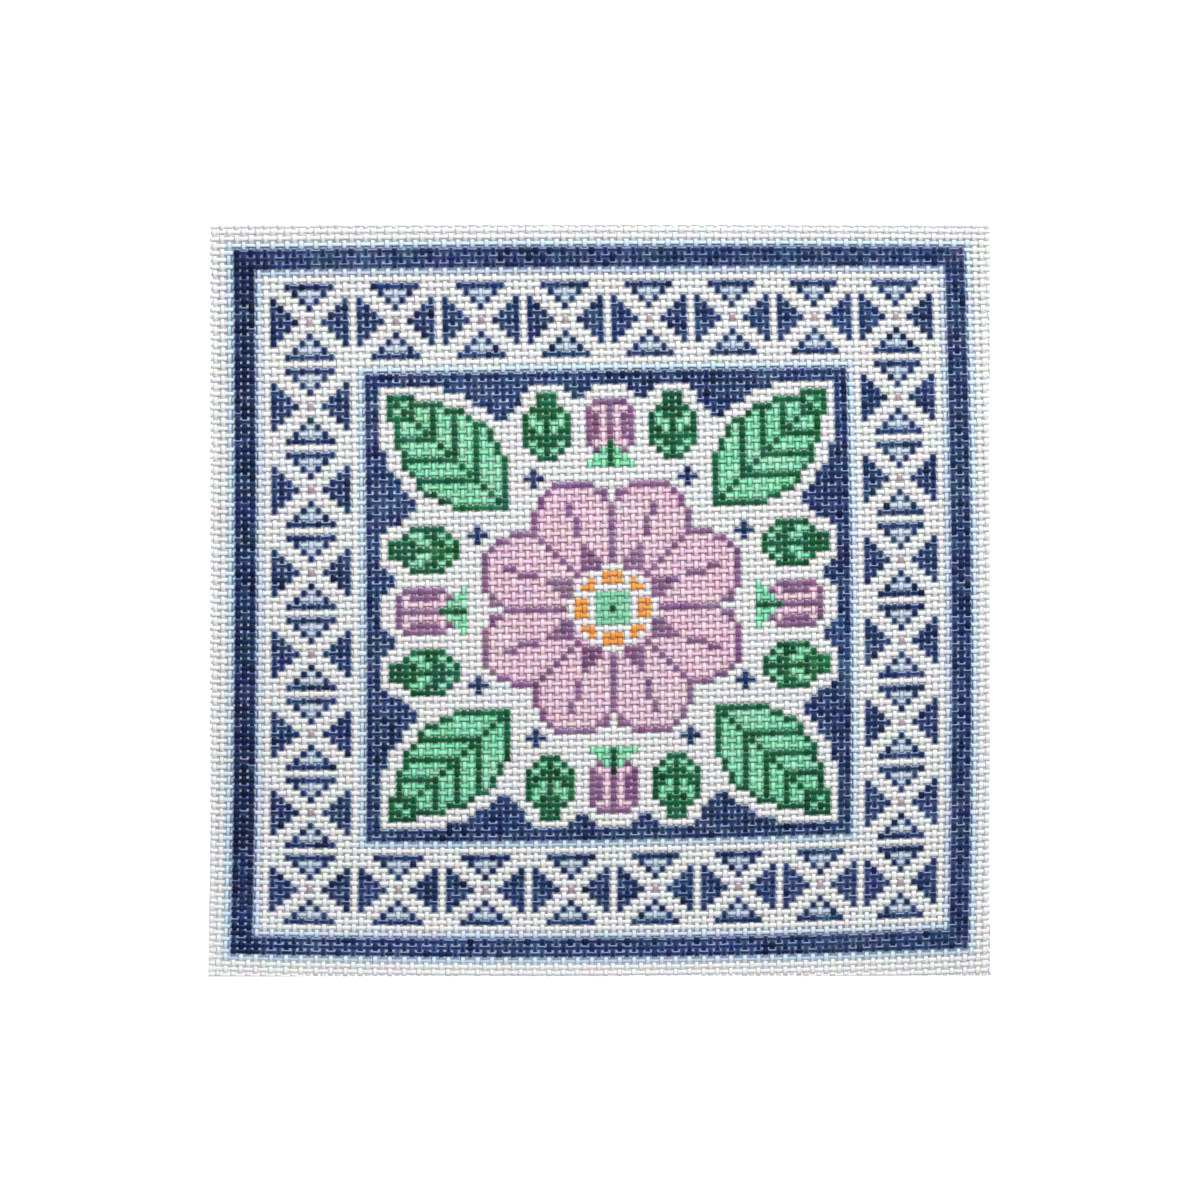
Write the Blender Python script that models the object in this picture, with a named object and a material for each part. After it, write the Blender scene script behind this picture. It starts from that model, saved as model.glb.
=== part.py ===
"""Needlepoint canvas panel: one square of stiff mono canvas, lying flat, painted side up.

Metres, +Z up. The origin is at the middle of the underside. +X runs to the right of the painted
design along the weft threads, +Y to its top along the warp threads, and the painted face looks up.
The sheet is flat where it touches. Its bottom and top edges curl up a little, as canvas cut from
a roll does, and most at the design's bottom left.
"""

import bmesh
import bpy

# Driving dimensions, in metres
WARP_THREADS = 111  # threads that run up the design, side by side from left to right
WEFT_THREADS = 112  # threads that run across it, from bottom to top
WARP_PITCH = 0.0019955  # from one warp thread to the next
WEFT_PITCH = 0.0019018  # from one weft thread to the next, beaten up a little closer
THICKNESS = 0.0012  # a warp and a weft thread, one on the other, pressed a little flat
COLUMNS = 12  # facets across the sheet
CURL_ROWS = 12  # facets along the bend of a curled edge

WIDTH = WARP_THREADS * WARP_PITCH
LENGTH = WEFT_THREADS * WEFT_PITCH

# Each curled edge: the side of Y it is on, how high it stands at the sheet's left and right, and
# how far in from the edge the sheet leaves the surface
CURLS = (
    # side_y, left_height, right_height, reach
    (-1, 0.0055, 0.0018, 0.052),  # bottom edge
    (1, 0.0016, 0.0010, 0.034),  # top edge
)

CANVAS_WHITE = (0.80, 0.80, 0.77, 1.0)
CANVAS_ROUGHNESS = 0.85


def curl_height(x, y):
    """Height of the underside over the surface at a point of the sheet, in plan."""
    height = 0.0
    for side_y, left_height, right_height, reach in CURLS:
        from_edge = LENGTH / 2 - side_y * y
        edge_height = left_height + (right_height - left_height) * (x / WIDTH + 0.5)
        height += edge_height * max(0.0, 1.0 - from_edge / reach) ** 2
    return height


def row_places():
    """Y of each row of facets, from the bottom edge to the top: close along the bends only."""
    rows = set()
    for side_y, _, _, reach in CURLS:
        for step in range(CURL_ROWS + 1):
            rows.add(side_y * (LENGTH / 2 - reach * step / CURL_ROWS))
    return sorted(rows)


def canvas_material():
    """Bare cotton canvas, sized and matte."""
    material = bpy.data.materials.new("canvas")
    material.use_nodes = True
    shader = material.node_tree.nodes["Principled BSDF"]
    shader.inputs["Base Color"].default_value = CANVAS_WHITE
    shader.inputs["Roughness"].default_value = CANVAS_ROUGHNESS
    shader.inputs["Metallic"].default_value = 0.0
    return material


def canvas_sheet():
    """The sheet's underside as rows of facets, thickened upwards to the painted face."""
    sheet = bmesh.new()
    rows = []
    for y in row_places():
        across = [WIDTH * (column / COLUMNS - 0.5) for column in range(COLUMNS + 1)]
        rows.append([sheet.verts.new((x, y, curl_height(x, y))) for x in across])
    for lower, upper in zip(rows, rows[1:]):
        for k in range(COLUMNS):
            sheet.faces.new((lower[k], lower[k + 1], upper[k + 1], upper[k]))
    mesh = bpy.data.meshes.new("canvas")
    sheet.to_mesh(mesh)
    sheet.free()
    mesh.materials.append(canvas_material())

    canvas = bpy.data.objects.new("canvas", mesh)
    bpy.context.scene.collection.objects.link(canvas)
    thicken = canvas.modifiers.new("thickness", "SOLIDIFY")
    thicken.thickness = THICKNESS
    thicken.offset = 1.0
    thicken.use_even_offset = True
    return canvas


for old in list(bpy.data.objects):
    bpy.data.objects.remove(old, do_unlink=True)
canvas_sheet()
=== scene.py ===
"""Dresses the needlepoint canvas panel: cloth woven thread by thread, with its design painted on.

Metres, in the frame's axes: +X to the right of the design, +Y to its top, +Z out of the painted
face. The canvas is a plain weave of stiff cotton threads, each over one and under one. A crossing
of two threads takes one colour of the chart, as on canvas painted for stitching.
"""

import math

import bpy
import numpy as np
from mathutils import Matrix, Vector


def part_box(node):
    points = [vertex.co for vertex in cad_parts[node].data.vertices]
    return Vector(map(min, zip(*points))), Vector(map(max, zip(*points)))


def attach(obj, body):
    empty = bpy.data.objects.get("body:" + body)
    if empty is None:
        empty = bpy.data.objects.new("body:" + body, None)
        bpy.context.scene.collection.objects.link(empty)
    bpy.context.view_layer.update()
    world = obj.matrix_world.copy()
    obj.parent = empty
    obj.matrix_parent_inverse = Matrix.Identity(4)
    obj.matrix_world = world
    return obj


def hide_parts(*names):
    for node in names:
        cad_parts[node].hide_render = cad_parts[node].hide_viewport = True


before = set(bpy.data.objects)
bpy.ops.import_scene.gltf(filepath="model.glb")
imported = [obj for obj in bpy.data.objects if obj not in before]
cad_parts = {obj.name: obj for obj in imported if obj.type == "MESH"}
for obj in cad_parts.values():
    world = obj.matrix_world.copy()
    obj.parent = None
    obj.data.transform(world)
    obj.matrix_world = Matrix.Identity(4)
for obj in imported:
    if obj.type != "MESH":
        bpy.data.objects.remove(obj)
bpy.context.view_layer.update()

RANDOM = np.random.default_rng(11)

# ---------------------------------------------------------------- the cloth, in metres
LOW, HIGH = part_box("canvas")
WIDTH = HIGH[0] - LOW[0]
LENGTH = HIGH[1] - LOW[1]
THICKNESS = 0.0012  # of the solid: a warp and a weft thread, one on the other
WARPS = 111  # threads that run up the design, numbered from the left
WEFTS = 112  # threads that run across it, numbered from the top
HALF_WARPS = (WARPS - 1) / 2
HALF_WEFTS = (WEFTS - 1) / 2

WARP_HALF_WIDTH = 0.00071
WEFT_HALF_WIDTH = 0.00062
HALF_THICK = 0.00025  # of a thread, which the sizing and the roller leave flat
WARP_WAVE = 0.00034  # how far a warp rises and falls from the cloth's middle
WEFT_WAVE = 0.00016  # the wefts lie straighter
FLAT_CROWN = 0.7  # under 1, a thread lies flatter where it crosses and bends more between
SWELL = 0.06  # how much wider a thread is where it is pressed at a crossing

# The curl of the bottom and top edges, as on the solid: the side of Y, the height of the edge at
# the sheet's left and right, and how far in it starts
CURLS = (
    # side_y, left_height, right_height, reach
    (-1, 0.0055, 0.0018, 0.052),
    (1, 0.0016, 0.0010, 0.034),
)

# How the threads stray from a square grid. s runs from -1 at the first warp to 1 at the last, and
# t from -1 at the bottom weft to 1 at the top one.
WARP_MIDDLE = 0.00368  # x of the middle warp
WARP_SPAN = 0.10964  # from the middle warp to the outer ones
WARP_CROWDING = 0.0032  # warps lie closer towards the right
WARP_LEAN = 0.0011  # the middle warps lean to the left on their way up
WARP_BOW = 0.0012  # warps bow, with their middles to the right
WARP_BOW_RIGHT = 0.0005  # and the right ones bow more than the left ones
WARP_TAPER = 0.0005  # they draw together a little towards the top
WEFT_MIDDLE = -0.0033  # y of the middle weft
WEFT_SPAN = 0.1076  # from the middle weft to the outer ones
WEFT_CROWDING = -0.00216  # wefts lie closer towards the bottom
WEFT_SQUEEZE = 0.00117  # and closer at both ends of the warps than in their middle
TOP_SQUEEZE = 0.0006  # and the first ones at the top closer still
TOP_SQUEEZE_FADE = 1.5  # wefts
WEFT_CLIMB = 0.0025  # wefts climb to the right in the middle of the panel
WEFT_CLIMB_FADE = 0.85  # and much less at its top and bottom
STEEPEST = -0.035  # the t at which they climb most
WEFT_SAG = 0.00065  # wefts arch a little at the top and sag three times as much at the bottom

DRIFT = 0.00008  # how far a thread wanders from its line
DRIFT_WAVES = (37, 13, 5.3, 2.7)  # the lengths of those waves, in crossings
OFFSET = 0.5  # the spread of how far its whole line is out of place, in drifts
SLUB = 0.11  # how much its width varies, as a share
SLUB_WAVES = (11, 4.3)  # the lengths of those waves, in crossings
NUB = 0.055  # the spread of how much it varies from ring to ring, as a share
THINNED = 0.04  # how much thinner it is where it is pressed at a crossing, as a share
RAGGED = 0.00025  # how uneven the cut ends are
SLIVER = 0.5  # of a thread's half width, how far past the cut its middle may be
PAST_ENDS = 1.5  # how many crossings before the first and past the last one the cut may be
FINE_STEPS = 24  # steps for each crossing, among which the cut is looked for
SHORTEST = 2  # how many crossings a cut stretch of a thread must pass to be kept

RINGS = 3  # rings of points for each crossing that a thread passes
# A thread's section, from its right side round over its top to its underside. The third figure says
# how like the crown's paint that point is, the rest being as in the gaps, whose colours carry
# painted shade and light, and the last how well it is covered.
SECTION = np.array((
    # across, up, paint, cover
    (1.0, 0.0, 0.0, 1.0),
    (0.55, 0.8, 0.6, 1.0),
    (0.0, 1.0, 1.0, 1.0),
    (-0.55, 0.8, 0.6, 1.0),
    (-1.0, 0.0, 0.0, 1.0),
    (0.0, -1.0, 0.0, 0.2),
))
SIDES = len(SECTION)
# How far a dark band has spread over a thread of the pale line along it, at each of those points:
# from a band at its right side, and from one at its left
STAIN = np.array((
    (0.4, 0.15, 0.0, 0.0, 0.0, 0.0),
    (0.0, 0.0, 0.0, 0.15, 0.4, 0.0),
))
SLOPE_PAINT = 0.75  # the paint share of a thread midway between two crossings

# ---------------------------------------------------------------- the design, in threads
MARGIN = 3  # bare threads outside the painted frame at the left, right and top
FRAME = 105  # the painted frame, from side to side
BAND = 3  # its dark band
REPEAT = 12  # a motif of the border, 11 threads, and the bare one that parts it from the next
FIELD = 69  # the dark square in the middle

# The paints in sRGB: on the crowns of the threads, and in the gaps between them. A dark paint's gap
# colour is lighter, as it lies thinner there. A pale paint's gap colour is darker, partly as it
# lies deeper and partly painted shade in the recesses. The bare cloth's gap colour is lighter than
# its
# crown: painted light that softens the shade between the threads.
PAINTS = {
    # name: crown, gap
    "bare": ((228, 229, 230), (236, 238, 240)),
    "sky": ((207, 225, 239), (198, 217, 235)),
    "haze": ((206, 218, 234), (196, 210, 230)),
    "navy": ((9, 27, 70), (186, 204, 240)),
    "ice": ((204, 216, 230), (160, 179, 202)),
    "rose": ((172, 146, 157), (204, 190, 197)),
    "pink": ((247, 217, 231), (192, 152, 176)),
    "violet": ((120, 80, 124), (190, 152, 186)),
    "leaf": ((166, 237, 201), (72, 165, 120)),
    "forest": ((6, 70, 42), (90, 170, 128)),
    "orange": ((244, 158, 62), (226, 150, 90)),
    "mint": ((140, 215, 180), (110, 185, 150)),
}
UNEVEN_COAT = 0.07  # how much the paint's thickness varies from crossing to crossing
BRUSH_MARKS = 0.06  # and more slowly, over several threads
BRUSH_REACH = 3  # crossings
COAT_HUE = 0.045  # and how much its hue does
RUN_DOWN = (0.05, 0.3)  # mean and spread of how far paint has run down a thread's sides, as a share
LEFT_BAND_SHADE = 0.4  # and how much further it has on the left band, which darkens it: painted shade
MOST_RUN = 0.8  # the furthest that it may have
WARP_RUN = 0.2  # how much further it has on the warps, so the gaps' painted shade and light lie more between rows
COAT_LIMITS = (0.6, 1.25)  # the thinnest and the thickest that the paint may be
CLOTH_HUE = 0.012  # how much the cloth's own hue varies
NAMES = list(PAINTS)
CODE = {name: number for number, name in enumerate(NAMES)}
PALE_LINES = (CODE["sky"], CODE["haze"])

# The upper half and middle row of a border motif: two triangles tip to tip, two more at the sides
HOURGLASS = (
    "..#######..",
    "...#ooo#...",
    "#...#o#...#",
    "##...#...##",
    "###.....###",
    "####.+.####",
)
HOURGLASS_KEY = {"#": "navy", "o": "ice", "+": "rose"}

# The middle is one eighth of a design, mirrored. Its places are in threads from the centre: the
# first is the larger of a crossing's distances across and up, and the second the smaller.
LEAVES = (
    # start, heading in degrees, length, width, vein_step
    ((21.5, 9.0), 0, 10.6, 8.0, 4),
    ((15.0, 15.0), 45, 24.0, 13.0, 4),
)
LEAF_TAPER = 0.8  # under 1, a leaf is widest nearer its start
LEAF_INSET = 3  # from the dark square's edge
BUD_MIDDLE = 26.4
BUD_HALF_LENGTH = 4.6
BUD_HALF_WIDTH = 3.7
BUD_FOLD = (24, 29)  # between which a fold shows on the bud, two threads from its middle
CUP_START = 21
CUP_TIP = 24.5
CUP_HALF_WIDTH = 3
PETAL_WIDEST = 13.2
PETAL_TIP = 19.8
PETAL_HALF_WIDTH = 6.3
PETAL_LINE = (12, 16.5)  # where the line down its middle starts and ends
THROAT_TIP = 11  # of the dark wedge at a petal's foot
THROAT_SLOPE = 0.36  # half its width for each thread before its tip
EYE_RADIUS = 6.3
DOTS_RADIUS = 5.4
BUTTON_RADIUS = 2.9
HALO = 2  # bare threads round each shape
GROUND_EDGE = 2  # threads of dark ground that go all round the square


def grown(mask, reach):
    """The crossings within that many threads of a shape."""
    near = mask.copy()
    steps = range(-int(reach), int(reach) + 1)
    for down in steps:
        for right in steps:
            if 0 < math.hypot(down, right) <= reach:
                near |= np.roll(mask, (down, right), (0, 1))
    return near


def rim(mask):
    """A shape's own outermost crossings."""
    return mask & grown(~mask, 1)


def paint_frame(chart, ring):
    """The dark band with a pale line each side, and the dark square in the middle."""
    half = FRAME // 2
    chart[ring == half + 1] = CODE["sky"]
    chart[(ring <= half) & (ring > half - BAND)] = CODE["navy"]
    chart[ring == half - BAND] = CODE["haze"]
    field = FIELD // 2
    chart[ring == field + 1] = CODE["sky"]
    chart[ring <= field] = CODE["navy"]


def paint_border(chart):
    """One round of motifs between the band and the square."""
    lines = HOURGLASS + HOURGLASS[-2::-1]
    first = MARGIN + BAND + 2
    count = (FRAME - 2 * (BAND + 2) + 1) // REPEAT
    for across in range(count):
        for down in range(count):
            if across not in (0, count - 1) and down not in (0, count - 1):
                continue
            for row, line in enumerate(lines, first + REPEAT * down):
                for column, mark in enumerate(line, first + REPEAT * across):
                    if mark in HOURGLASS_KEY:
                        chart[row, column] = CODE[HOURGLASS_KEY[mark]]


def paint_leaf(art, a, b, start, heading, length, width, vein_step):
    """A pointed leaf with a midrib and side veins."""
    turn = math.radians(heading)
    from_start = (a - start[0], b - start[1])
    along = from_start[0] * math.cos(turn) + from_start[1] * math.sin(turn)
    across = np.abs(from_start[1] * math.cos(turn) - from_start[0] * math.sin(turn))
    half_width = width / 2 * np.sin(math.pi * np.clip(along / length, 0, 1) ** LEAF_TAPER)
    leaf = (along >= 0) & (along <= length) & (across <= half_width)
    leaf &= a <= FIELD // 2 - LEAF_INSET
    art[leaf] = CODE["leaf"]
    veins = np.rint(along - across + vein_step / 2) % vein_step < 1
    art[leaf & (veins | (across < 0.5))] = CODE["forest"]
    art[rim(leaf)] = CODE["forest"]


def paint_bud(art, a, b):
    """A closed bud on a small green cup, pointing outwards along each axis."""
    bud = ((a - BUD_MIDDLE) / BUD_HALF_LENGTH) ** 2 + (b / BUD_HALF_WIDTH) ** 2 < 1
    art[bud] = CODE["pink"]
    art[bud & (b == 2) & (a > BUD_FOLD[0]) & (a < BUD_FOLD[1])] = CODE["violet"]
    art[(bud & (b == 0)) | rim(bud)] = CODE["violet"]
    cup = (a >= CUP_START) & (b <= CUP_HALF_WIDTH) & (b <= CUP_TIP - a)
    art[cup] = CODE["leaf"]
    art[cup & (b == 0)] = CODE["forest"]


def paint_petals(art, a, b):
    """Eight round petals, each with a dark edge, a line down its middle and a wedge at its foot."""
    turn = math.pi / 8
    along = a * math.cos(turn) + b * math.sin(turn)
    across = np.abs(b * math.cos(turn) - a * math.sin(turn))
    past_widest = (along - PETAL_WIDEST) / (PETAL_TIP - PETAL_WIDEST)
    rounding = np.sqrt(np.clip(1 - past_widest**2, 0, 1))
    round_end = across <= PETAL_HALF_WIDTH * rounding
    petals = (along < PETAL_TIP) & ((along <= PETAL_WIDEST) | round_end)
    art[grown(petals, HALO)] = -1
    art[petals] = CODE["pink"]
    line = (along > PETAL_LINE[0]) & (along < PETAL_LINE[1]) & (across < 0.5)
    throat = across < THROAT_SLOPE * (THROAT_TIP - along)
    parting = (b == 0) | (a == b)
    art[petals & (line | throat | parting)] = CODE["violet"]
    art[rim(petals)] = CODE["violet"]


def paint_eye(art, a, b):
    """The bare middle of the rosette, with a ring of eight dots and a green button."""
    radius = np.hypot(a, b)
    art[radius < EYE_RADIUS] = CODE["bare"]
    dots = (b <= 1) & (a > 3) | (a - b <= 1) & (b >= 3)
    art[(radius < DOTS_RADIUS) & dots] = CODE["orange"]
    art[radius < BUTTON_RADIUS] = CODE["mint"]
    art[radius < 0.5] = CODE["forest"]


def paint_field(chart, ring, a, b):
    """The mirrored design: rosette, leaves and buds, each in a bare halo on the dark ground."""
    art = np.full(chart.shape, -1)
    for leaf in LEAVES:
        paint_leaf(art, a, b, *leaf)
    paint_bud(art, a, b)
    paint_petals(art, a, b)
    paint_eye(art, a, b)
    shown = art >= 0
    ground = (ring > FIELD // 2 - GROUND_EDGE) | ~grown(shown, HALO)
    ground &= grown(~grown(~ground, 1), 1)
    chart[~ground] = CODE["bare"]
    chart[shown] = art[shown]


def make_chart():
    """The colour of every crossing, as codes: a row for each weft and a column for each warp."""
    row, column = np.mgrid[0:WEFTS, 0:WARPS]
    centre = MARGIN + FRAME // 2
    across = np.abs(column - centre)
    up = np.abs(row - centre)
    ring = np.maximum(across, up)
    chart = np.full((WEFTS, WARPS), CODE["bare"])
    paint_frame(chart, ring)
    paint_border(chart)
    paint_field(chart, ring, ring.astype(float), np.minimum(across, up).astype(float))
    return chart


def linear(colour):
    """An sRGB colour of 0 to 255 as the light that it stands for."""
    part = np.array(colour) / 255
    return np.where(part <= 0.04045, part / 12.92, ((part + 0.055) / 1.055) ** 2.4)


def smoothed(noise, reach):
    """Noise averaged over its neighbours, and stretched back to its first spread."""
    steps = range(-reach, reach + 1)
    total = sum(np.roll(noise, (down, right), (0, 1)) for down in steps for right in steps)
    return total / (2 * reach + 1)


def make_coats():
    """How thick the paint is at each crossing, where 1 is a full coat, for red, green and blue."""
    each = RANDOM.normal(0.0, UNEVEN_COAT, CHART.shape + (1,))
    marks = smoothed(RANDOM.normal(0.0, BRUSH_MARKS, CHART.shape + (1,)), BRUSH_REACH)
    hue = smoothed(RANDOM.normal(0.0, COAT_HUE, CHART.shape + (3,)), 1)
    return (1 + each + marks + hue).clip(*COAT_LIMITS)


def make_runs():
    """How far the paint has run down into the gaps at each crossing, as a share of the crown's."""
    runs = RANDOM.normal(*RUN_DOWN, CHART.shape)
    # The left band runs further, which darkens it: painted shade
    runs[:, :MARGIN + 1 + BAND] += LEFT_BAND_SHADE
    return runs.clip(0, MOST_RUN)


def make_tones():
    """How far each crossing's cloth strays from white, as a factor for red, green and blue."""
    return np.exp(smoothed(RANDOM.normal(0.0, CLOTH_HUE, CHART.shape + (3,)), 1))


# ---------------------------------------------------------------- the threads
def place(column, row):
    """Where warp and weft of these numbers cross, in plan."""
    s = (column - HALF_WARPS) / HALF_WARPS
    t = (HALF_WEFTS - row) / HALF_WEFTS
    x = WARP_MIDDLE + WARP_SPAN * s - WARP_CROWDING * s**2 - WARP_LEAN * t * (1 - s**2)
    x = x - (WARP_BOW + WARP_BOW_RIGHT * s) * t**2 - WARP_TAPER * s * t
    y = WEFT_MIDDLE + WEFT_SPAN * t - WEFT_CROWDING * t**2 - WEFT_SQUEEZE * t**3
    y = y + WEFT_CLIMB * s * (1 - WEFT_CLIMB_FADE * (t - STEEPEST) ** 2)
    y = y + WEFT_SAG * s**2 * (1 - 2 * t)
    y = y - TOP_SQUEEZE * np.exp(-(row + 1) / TOP_SQUEEZE_FADE)
    return x, y


def curl_height(x, y):
    """Height of the underside over the surface, as on the solid."""
    height = np.zeros_like(x)
    for side_y, left_height, right_height, reach in CURLS:
        from_edge = LENGTH / 2 - side_y * y
        edge_height = left_height + (right_height - left_height) * (x / WIDTH + 0.5)
        height = height + edge_height * np.clip(1 - from_edge / reach, 0, None) ** 2
    return height


def wandering(steps, amount, *waves):
    """A slow seeded wobble along a thread, of waves so many crossings long."""
    total = np.zeros_like(steps)
    for wave in waves:
        total += np.sin(2 * math.pi * (steps / wave + RANDOM.random()))
    return amount * total / len(waves)


def stretches(steps, inside):
    """The first and last step of each unbroken stretch inside the cut."""
    edges = np.flatnonzero(np.diff(np.concatenate(([False], inside, [False])).astype(int)))
    return [(steps[first], steps[last - 1]) for first, last in edges.reshape(-1, 2)]


def rings_of(first, last):
    """The steps along a thread at which it has a ring of points."""
    gap = 1 / RINGS
    steps = np.arange(math.ceil(first / gap), math.floor(last / gap) + 1) * gap
    steps = steps[(steps > first + gap / 3) & (steps < last - gap / 3)]
    return np.concatenate(([first], steps, [last]))


class Thread:
    """One cut stretch of a thread: its rings of points, its colours and its own coordinates."""

    def __init__(self, steps, centre, half_width, half_thick, colours):
        along = np.gradient(centre, axis=0)
        along /= np.linalg.norm(along, axis=1, keepdims=True)
        side = np.cross((0.0, 0.0, 1.0), along)
        side /= np.linalg.norm(side, axis=1, keepdims=True)
        up = np.cross(along, side)
        across = (half_width[:, None] * SECTION[:, 0])[..., None]
        rise = (half_thick[:, None] * SECTION[:, 1])[..., None]
        self.points = centre[:, None] + side[:, None] * across + up[:, None] * rise
        self.points[..., 0] = self.points[..., 0].clip(-WIDTH / 2, WIDTH / 2)
        self.points[..., 1] = self.points[..., 1].clip(-LENGTH / 2, LENGTH / 2)
        self.colours = colours
        self.steps = steps


def blended(first, second, share):
    """Two colours of light, mixed as films of paint are, with that share of the second."""
    return first ** (1 - share) * second ** share


def painted(codes, beside, coat, run, tone, crown):
    """Colours of a thread's points, with an alpha of 1 where it is painted and 0 where it is bare.

    beside has the colours of the crossings past its right side and past its left one.
    """
    share = (SLOPE_PAINT + (1 - SLOPE_PAINT) * crown)[:, None] * SECTION[:, 2]
    share = share + run[:, None] * (1 - share)
    cover = coat[:, None] * SECTION[:, 3:]
    colours = np.empty((len(codes), SIDES, 4))
    # The sides take the gaps' colours: thinner or deeper paint, with painted shade and light
    film_and_shade = blended(GAP_PAINT_AND_SHADE[codes][:, None], CROWN_COLOURS[codes][:, None], share[..., None])
    for stain, neighbours in zip(STAIN, beside):
        stained = np.isin(codes, PALE_LINES) & (neighbours == CODE["navy"])
        film_and_shade[stained] = blended(film_and_shade[stained], CROWN_COLOURS[CODE["navy"]], stain[:, None])
    film_and_shade = blended(CROWN_COLOURS[CODE["bare"]], film_and_shade, cover)
    colours[..., :3] = film_and_shade * tone[:, None]
    colours[..., 3] = (codes != CODE["bare"])[:, None] * SECTION[:, 3]
    return colours


def codes_beside(at, is_warp, step):
    """The colours past a thread's right side, with a step of 1, or past its left one, with -1."""
    row, column = at
    if is_warp:
        column = np.clip(column + step, 0, WARPS - 1)
    else:
        row = np.clip(row - step, 0, WEFTS - 1)
    return CHART[row, column]


def woven(is_warp, number, first, last, shift):
    """A stretch of a thread, over one and under one from its first step to its last."""
    steps = rings_of(first, last)
    x, y = place(number, steps) if is_warp else place(steps, number)
    stray = DRIFT * shift + wandering(steps, DRIFT, *DRIFT_WAVES)
    x, y = (x + stray, y) if is_warp else (x, y + stray)
    swing = np.cos(math.pi * (steps + number))
    pressed = np.abs(swing)
    height = np.sign(swing) * pressed**FLAT_CROWN * (WARP_WAVE if is_warp else -WEFT_WAVE)
    z = curl_height(x, y) + THICKNESS / 2 + height

    uneven = wandering(steps, SLUB, *SLUB_WAVES) + RANDOM.normal(0, NUB, len(steps))
    base = WARP_HALF_WIDTH if is_warp else WEFT_HALF_WIDTH
    half_width = base * (1 + SWELL * (pressed - 0.5) + uneven)
    half_thick = HALF_THICK * (1 - THINNED * pressed)

    count, alongside = (WEFTS, WARPS) if is_warp else (WARPS, WEFTS)
    nearest = np.clip(np.rint(steps).astype(int), 0, count - 1)
    own = np.full_like(nearest, np.clip(number, 0, alongside - 1))
    at = (nearest, own) if is_warp else (own, nearest)
    beside = [codes_beside(at, is_warp, step) for step in (1, -1)]
    # Warps' sides run further, so the gaps' painted shade and light lie more between the rows
    run = RUNS[at] + (WARP_RUN if is_warp else 0)
    colours = painted(CHART[at], beside, COATS[at], run, TONES[at], pressed)
    return Thread(steps / count, np.stack((x, y, z), axis=1), half_width, half_thick, colours)


def make_threads(is_warp, numbers):
    """The threads of those numbers, cut off at the panel's edges."""
    count = WEFTS if is_warp else WARPS
    base = WARP_HALF_WIDTH if is_warp else WEFT_HALF_WIDTH
    fine = np.arange(-PAST_ENDS, count - 1 + PAST_ENDS, 1 / FINE_STEPS)
    made = []
    for number in numbers:
        shift = RANDOM.normal(0, OFFSET)
        x, y = place(number, fine) if is_warp else place(fine, number)
        end, limit = (y, LENGTH / 2) if is_warp else (x, WIDTH / 2)
        edge, room = (x, WIDTH / 2) if is_warp else (y, LENGTH / 2)
        low_cut, high_cut = limit - RANDOM.uniform(0, RAGGED, 2)
        inside = (end > -low_cut) & (end < high_cut) & (np.abs(edge) < room + SLIVER * base)
        for first, last in stretches(fine, inside):
            if last - first >= SHORTEST:
                made.append(woven(is_warp, number, first, last, shift))
    return made


# A face's four corners: how many points round the section, and how many rings on, from its first
CORNERS_ROUND = np.array((0, 1, 1, 0))
CORNERS_AHEAD = np.array((0, 0, 1, 1))
# The map to bake through has a strip for each thread, with the two cut ends at the strip's ends
STRIP_SIDE = 0.03  # left free at each side of a strip, as a share of its width
STRIP_END = 0.02  # left at each end of it for the cut end, as a share of its length
CAP_MIDDLE = 0.007  # from the strip's end to the middle of the cut end, as a share of its length
CAP_HALF_LENGTH = 0.005
CAP_HALF_WIDTH = 0.4  # of a strip


def unwrapped(thread, number, strip, first):
    """A thread's faces, as numbers of points from its first, and their corners in both maps."""
    rings = len(thread.steps)
    ring, side = np.mgrid[0:rings - 1, 0:SIDES]
    ring = ring.ravel()[:, None] + CORNERS_AHEAD
    side = side.ravel()[:, None] + CORNERS_ROUND
    faces = (first + ring * SIDES + side % SIDES).tolist()
    along = STRIP_END + (1 - 2 * STRIP_END) * np.clip(thread.steps, 0, 1)
    u = strip * (number + STRIP_SIDE + (1 - 2 * STRIP_SIDE) * side / SIDES)
    bake = [np.stack((u, along[ring]), axis=-1).reshape(-1, 2)]
    fibre = [np.stack((side / SIDES, thread.steps[ring]), axis=-1).reshape(-1, 2)]
    turn = np.arange(SIDES) * 2 * math.pi / SIDES
    for end, middle, order in ((0, CAP_MIDDLE, -1), (rings - 1, 1 - CAP_MIDDLE, 1)):
        loop = first + end * SIDES + np.arange(SIDES)
        u = strip * (number + 0.5 + CAP_HALF_WIDTH * np.cos(turn))
        v = middle + CAP_HALF_LENGTH * np.sin(turn)
        faces.append(loop[::order].tolist())
        bake.append(np.stack((u, v), axis=-1)[::order])
        fibre.append(np.zeros((SIDES, 2)))
    return faces, np.concatenate(bake), np.concatenate(fibre)


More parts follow.
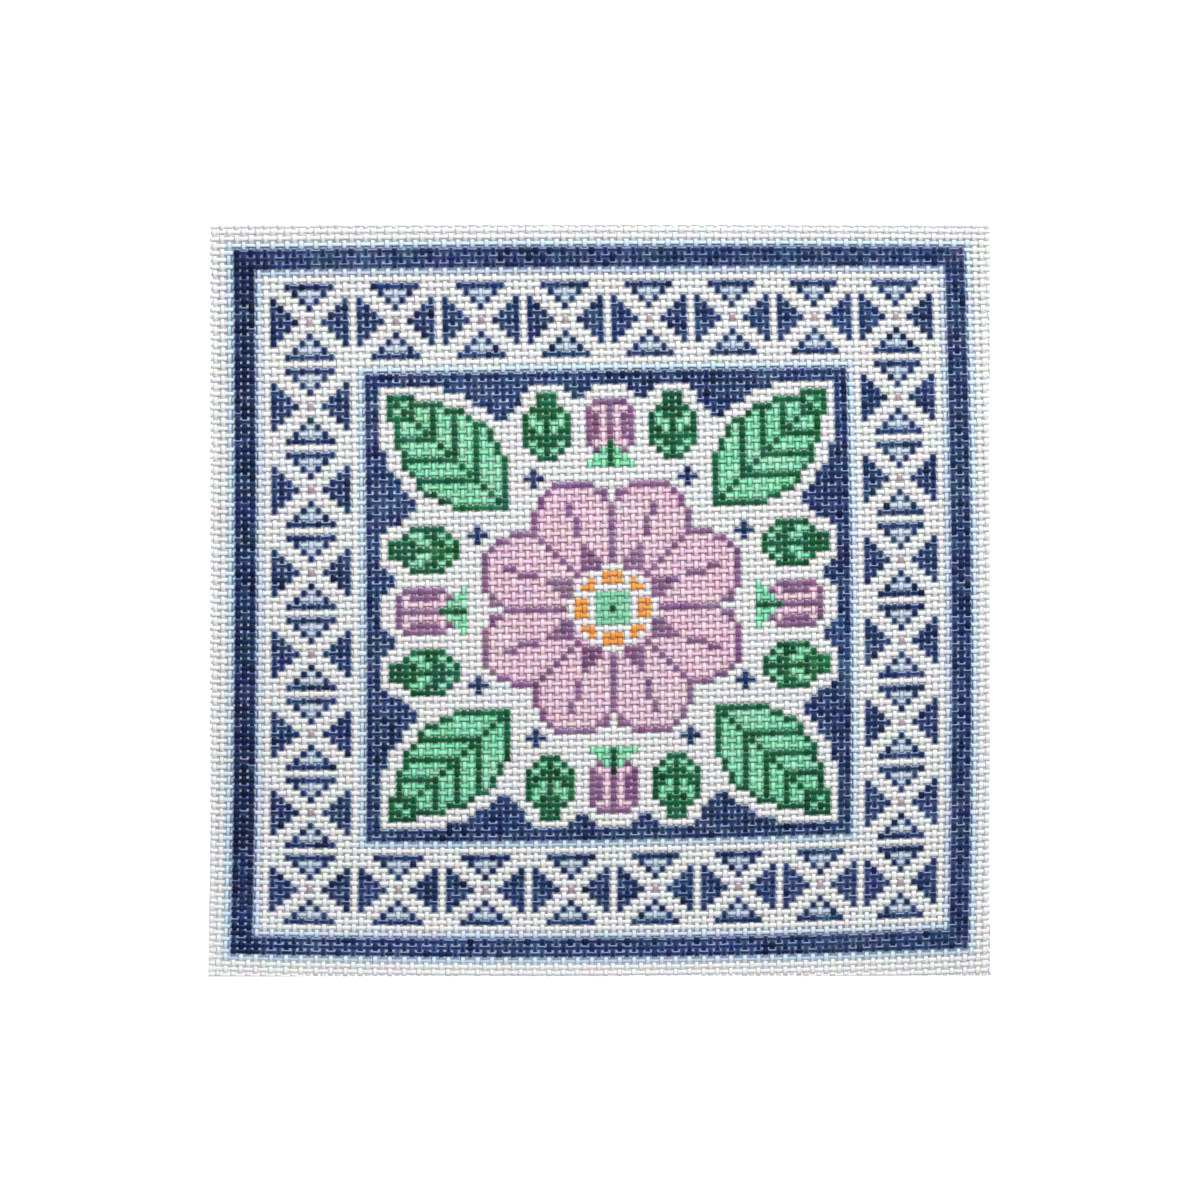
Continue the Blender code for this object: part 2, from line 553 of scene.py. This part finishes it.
def make_piece(name, threads, material):
    """Joins threads in one mesh, with their colours, a map to bake through and one for fibres."""
    points = np.concatenate([thread.points.reshape(-1, 3) for thread in threads])
    colours = np.concatenate([thread.colours.reshape(-1, 4) for thread in threads])
    faces = []
    bake = []
    fibre = []
    first = 0
    for number, thread in enumerate(threads):
        its_faces, its_bake, its_fibre = unwrapped(thread, number, 1 / len(threads), first)
        faces.extend(its_faces)
        bake.append(its_bake)
        fibre.append(its_fibre)
        first += len(thread.steps) * SIDES

    mesh = bpy.data.meshes.new(name)
    mesh.from_pydata(points, [], faces)
    mesh.shade_smooth()
    paint = mesh.color_attributes.new("paint", "FLOAT_COLOR", "POINT")
    paint.data.foreach_set("color", colours.astype(np.float32).ravel())
    for map_name, parts in (("OFBake", bake), ("fibre", fibre)):
        layer = mesh.uv_layers.new(name=map_name)
        layer.data.foreach_set("uv", np.concatenate(parts).astype(np.float32).ravel())
    mesh.materials.append(material)
    piece = bpy.data.objects.new(name, mesh)
    bpy.context.scene.collection.objects.link(piece)
    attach(piece, "root")
    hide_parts("canvas")
    return piece


# ---------------------------------------------------------------- finishes
FIBRES_ALONG = (9.0, 130.0, 1.0)  # how the fibres' noise is scaled round a thread and along it
TWIST_ALONG = (2.0, 400.0, 1.0)  # and the waves of its twist
MOTTLE = 0.3  # how much of the mottling noise is added to each of red, green and blue
MOTTLE_BASE = 0.845  # and what it is added to, as a factor that is about 1 on average


def noise_texture(tree, vector, scale, detail):
    """A noise texture over those coordinates."""
    texture = tree.nodes.new("ShaderNodeTexNoise")
    texture.inputs["Scale"].default_value = scale
    texture.inputs["Detail"].default_value = detail
    tree.links.new(vector, texture.inputs["Vector"])
    return texture


def stretched(tree, vector, scale):
    """Coordinates scaled along each axis."""
    mapping = tree.nodes.new("ShaderNodeMapping")
    mapping.inputs["Scale"].default_value = scale
    tree.links.new(vector, mapping.inputs["Vector"])
    return mapping.outputs["Vector"]


def ranged(tree, value, to_low, to_high, low=0.0, high=1.0):
    """A value that goes from to_low to to_high as another goes from low to high."""
    convert = tree.nodes.new("ShaderNodeMapRange")
    convert.inputs["From Min"].default_value = low
    convert.inputs["From Max"].default_value = high
    convert.inputs["To Min"].default_value = to_low
    convert.inputs["To Max"].default_value = to_high
    tree.links.new(value, convert.inputs["Value"])
    return convert.outputs["Result"]


def weighted_sum(tree, value, weight, other):
    """One value times a weight, plus another value."""
    total = tree.nodes.new("ShaderNodeMath")
    total.operation = "MULTIPLY_ADD"
    total.inputs[1].default_value = weight
    tree.links.new(value, total.inputs[0])
    tree.links.new(other, total.inputs[2])
    return total.outputs["Value"]


def canvas_colour(tree, paint, mottle, fibres):
    """The threads' own colour, mottled in hue, and lighter or darker from fibre to fibre."""
    mottle_tone = tree.nodes.new("ShaderNodeVectorMath")
    mottle_tone.operation = "MULTIPLY_ADD"
    mottle_tone.inputs[1].default_value = (MOTTLE, MOTTLE, MOTTLE)
    mottle_tone.inputs[2].default_value = (MOTTLE_BASE, MOTTLE_BASE, MOTTLE_BASE)
    tree.links.new(mottle, mottle_tone.inputs[0])
    mottled = tree.nodes.new("ShaderNodeVectorMath")
    mottled.operation = "MULTIPLY"
    tree.links.new(paint, mottled.inputs[0])
    tree.links.new(mottle_tone.outputs["Vector"], mottled.inputs[1])
    toned = tree.nodes.new("ShaderNodeVectorMath")
    toned.operation = "SCALE"
    tree.links.new(mottled.outputs["Vector"], toned.inputs[0])
    fibre_tone = ranged(tree, fibres, to_low=0.9, to_high=1.04, low=0.3, high=0.7)
    tree.links.new(fibre_tone, toned.inputs["Scale"])
    return toned.outputs["Vector"]


def thread_relief(tree, place_in_thread, fibres):
    """The twist of a thread and its fibres, as a normal."""
    twist = tree.nodes.new("ShaderNodeTexWave")
    twist.bands_direction = "DIAGONAL"
    twist.inputs["Scale"].default_value = 0.5
    twist.inputs["Distortion"].default_value = 1.5
    tree.links.new(stretched(tree, place_in_thread, TWIST_ALONG), twist.inputs["Vector"])
    bump = tree.nodes.new("ShaderNodeBump")
    bump.inputs["Strength"].default_value = 0.5
    bump.inputs["Distance"].default_value = 0.00006
    height = weighted_sum(tree, fibres, weight=0.6, other=twist.outputs["Fac"])
    tree.links.new(height, bump.inputs["Height"])
    return bump.outputs["Normal"]


def canvas_material():
    """Sized cotton with matte paint: the threads' own colour, fibres, mottling and twist."""
    material = bpy.data.materials.new("painted_canvas")
    material.use_nodes = True
    tree = material.node_tree
    shader = tree.nodes["Principled BSDF"]
    shader.inputs["Sheen Weight"].default_value = 0.01
    shader.inputs["Sheen Roughness"].default_value = 0.5
    shader.inputs["Specular IOR Level"].default_value = 0.12

    paint = tree.nodes.new("ShaderNodeAttribute")
    paint.attribute_name = "paint"
    place_in_thread = tree.nodes.new("ShaderNodeUVMap")
    place_in_thread.uv_map = "fibre"
    where = tree.nodes.new("ShaderNodeTexCoord")
    lengthways = stretched(tree, place_in_thread.outputs["UV"], FIBRES_ALONG)
    fibres = noise_texture(tree, lengthways, scale=1.6, detail=3.0).outputs["Fac"]
    mottle = noise_texture(tree, where.outputs["Object"], scale=420.0, detail=4.0)

    colour = canvas_colour(tree, paint.outputs["Color"], mottle.outputs["Color"], fibres)
    tree.links.new(colour, shader.inputs["Base Color"])
    bare_to_painted = ranged(tree, paint.outputs["Alpha"], to_low=0.85, to_high=0.45)
    roughness = weighted_sum(tree, mottle.outputs["Fac"], weight=0.15, other=bare_to_painted)
    tree.links.new(roughness, shader.inputs["Roughness"])
    relief = thread_relief(tree, place_in_thread.outputs["UV"], fibres)
    tree.links.new(relief, shader.inputs["Normal"])
    return material


def floor_material():
    """White board, a little uneven, with a painted glow as its mesh says: bright round the panel to
    wash out its shadow there, and dim under it.
    """
    material = bpy.data.materials.new("glowing_board")
    material.use_nodes = True
    tree = material.node_tree
    shader = tree.nodes["Principled BSDF"]
    shader.inputs["Roughness"].default_value = 0.9
    shader.inputs["Specular IOR Level"].default_value = 0.2
    shader.inputs["Emission Color"].default_value = (1.0, 1.0, 1.0, 1.0)
    glow = tree.nodes.new("ShaderNodeAttribute")
    glow.attribute_name = "glow"
    tree.links.new(glow.outputs["Fac"], shader.inputs["Emission Strength"])
    where = tree.nodes.new("ShaderNodeTexCoord")
    cloud = noise_texture(tree, where.outputs["Object"], scale=6.0, detail=2.0)
    white = ranged(tree, cloud.outputs["Fac"], to_low=0.95, to_high=0.97)
    tree.links.new(white, shader.inputs["Base Color"])
    return material


# ---------------------------------------------------------------- stage, light and camera
FLOOR_HALF = 12.0  # metres from its middle to each side
GLOW = 0.6  # of the board round the panel: a painted glow that washes out the panel's shadow there
DIM_GLOW = 0.05  # and under it
GLOW_INSET = 0.0003  # how far inside the panel's outline the glow begins to fade
GLOW_FADE = 0.0016  # and over what width it does
LIGHTS = (
    # name, place, size, watts
    ("overhead_light", (0.1, 0.5, 1.0), 0.4, 4.6),
    ("top_light", (0.3, 1.02, 0.65), 0.6, 13.2),
)
ROOM_LIGHT = 0.38
CAMERA_HEIGHT = 1.6
CAMERA_REACH = 100.0
PHOTO_WIDTH = 0.3408  # what the photo's frame spans at the cloth
SENSOR = 36.0  # millimetres


def rectangle(half_x, half_y):
    """The corners of a rectangle on the floor, in turn."""
    return [(half_x * x, half_y * y, 0.0) for x, y in ((-1, -1), (1, -1), (1, 1), (-1, 1))]


def make_stage():
    """A board with a painted glow round the canvas, which washes out its shadow, and hardly any
    under it: three rectangles, one in another.
    """
    half_x, half_y = WIDTH / 2 - GLOW_INSET, LENGTH / 2 - GLOW_INSET
    dim = rectangle(half_x - GLOW_FADE, half_y - GLOW_FADE)
    bright = rectangle(half_x, half_y) + rectangle(FLOOR_HALF, FLOOR_HALF)
    faces = [(0, 1, 2, 3)]
    for first in (0, 4):
        for corner in range(4):
            after = (corner + 1) % 4
            faces.append((first + 4 + corner, first + 4 + after, first + after, first + corner))
    mesh = bpy.data.meshes.new("floor")
    mesh.from_pydata(dim + bright, [], faces)
    glow = mesh.attributes.new("glow", "FLOAT", "POINT")
    glow.data.foreach_set("value", [DIM_GLOW] * len(dim) + [GLOW] * len(bright))
    mesh.materials.append(floor_material())
    floor = bpy.data.objects.new("floor", mesh)
    bpy.context.scene.collection.objects.link(floor)


def make_light(name, location, size, power):
    """A square soft light that faces the panel."""
    data = bpy.data.lights.new(name, "AREA")
    data.size = size
    data.energy = power
    light = bpy.data.objects.new(name, data)
    light.location = location
    direction = np.array(location) / np.linalg.norm(location)
    heading = math.atan2(direction[1], direction[0])
    light.rotation_euler = (math.acos(direction[2]), 0.0, heading + math.pi / 2)
    bpy.context.scene.collection.objects.link(light)


def make_lights():
    """The soft lights above and beyond the panel's top, and an even white room round it."""
    for light in LIGHTS:
        make_light(*light)
    world = bpy.data.worlds.new("studio")
    world.use_nodes = True
    background = world.node_tree.nodes["Background"]
    background.inputs["Color"].default_value = (1.0, 1.0, 1.0, 1.0)
    background.inputs["Strength"].default_value = ROOM_LIGHT
    bpy.context.scene.world = world
    bpy.context.scene.view_settings.view_transform = "Standard"


def make_camera():
    """Straight over the panel, as the photo looks at it."""
    data = bpy.data.cameras.new("camera")
    data.sensor_width = SENSOR
    data.lens = SENSOR * CAMERA_HEIGHT / PHOTO_WIDTH
    data.dof.use_dof = False
    data.clip_end = CAMERA_REACH
    camera = bpy.data.objects.new("camera", data)
    camera.location = (0.0, 0.0, CAMERA_HEIGHT)
    bpy.context.scene.collection.objects.link(camera)
    bpy.context.scene.camera = camera


make_camera()
make_lights()
make_stage()

CROWN_COLOURS = np.array([linear(PAINTS[name][0]) for name in NAMES])
# The gaps' colours: thinner or deeper paint, with painted shade and light
GAP_PAINT_AND_SHADE = np.array([linear(PAINTS[name][1]) for name in NAMES])
CHART = make_chart()
COATS = make_coats()
RUNS = make_runs()
TONES = make_tones()

# The pieces: their names, first threads and the ones after their last. The threads are bent, so a
# few numbered past the first and the last still cut the panel's corners.
WARP_PIECES = (("warp_left", -1, 37), ("warp_middle", 37, 74), ("warp_right", 74, WARPS + 2))
WEFT_PIECES = (("weft_upper", -1, 37), ("weft_middle", 37, 75), ("weft_lower", 75, WEFTS + 2))
canvas_finish = canvas_material()
warps = [
    make_piece(name, make_threads(True, range(first, last)), canvas_finish)
    for name, first, last in WARP_PIECES
]
for (name, first, last), warp in zip(WEFT_PIECES, warps):
    weft = make_piece(name, make_threads(False, range(first, last)), canvas_finish)
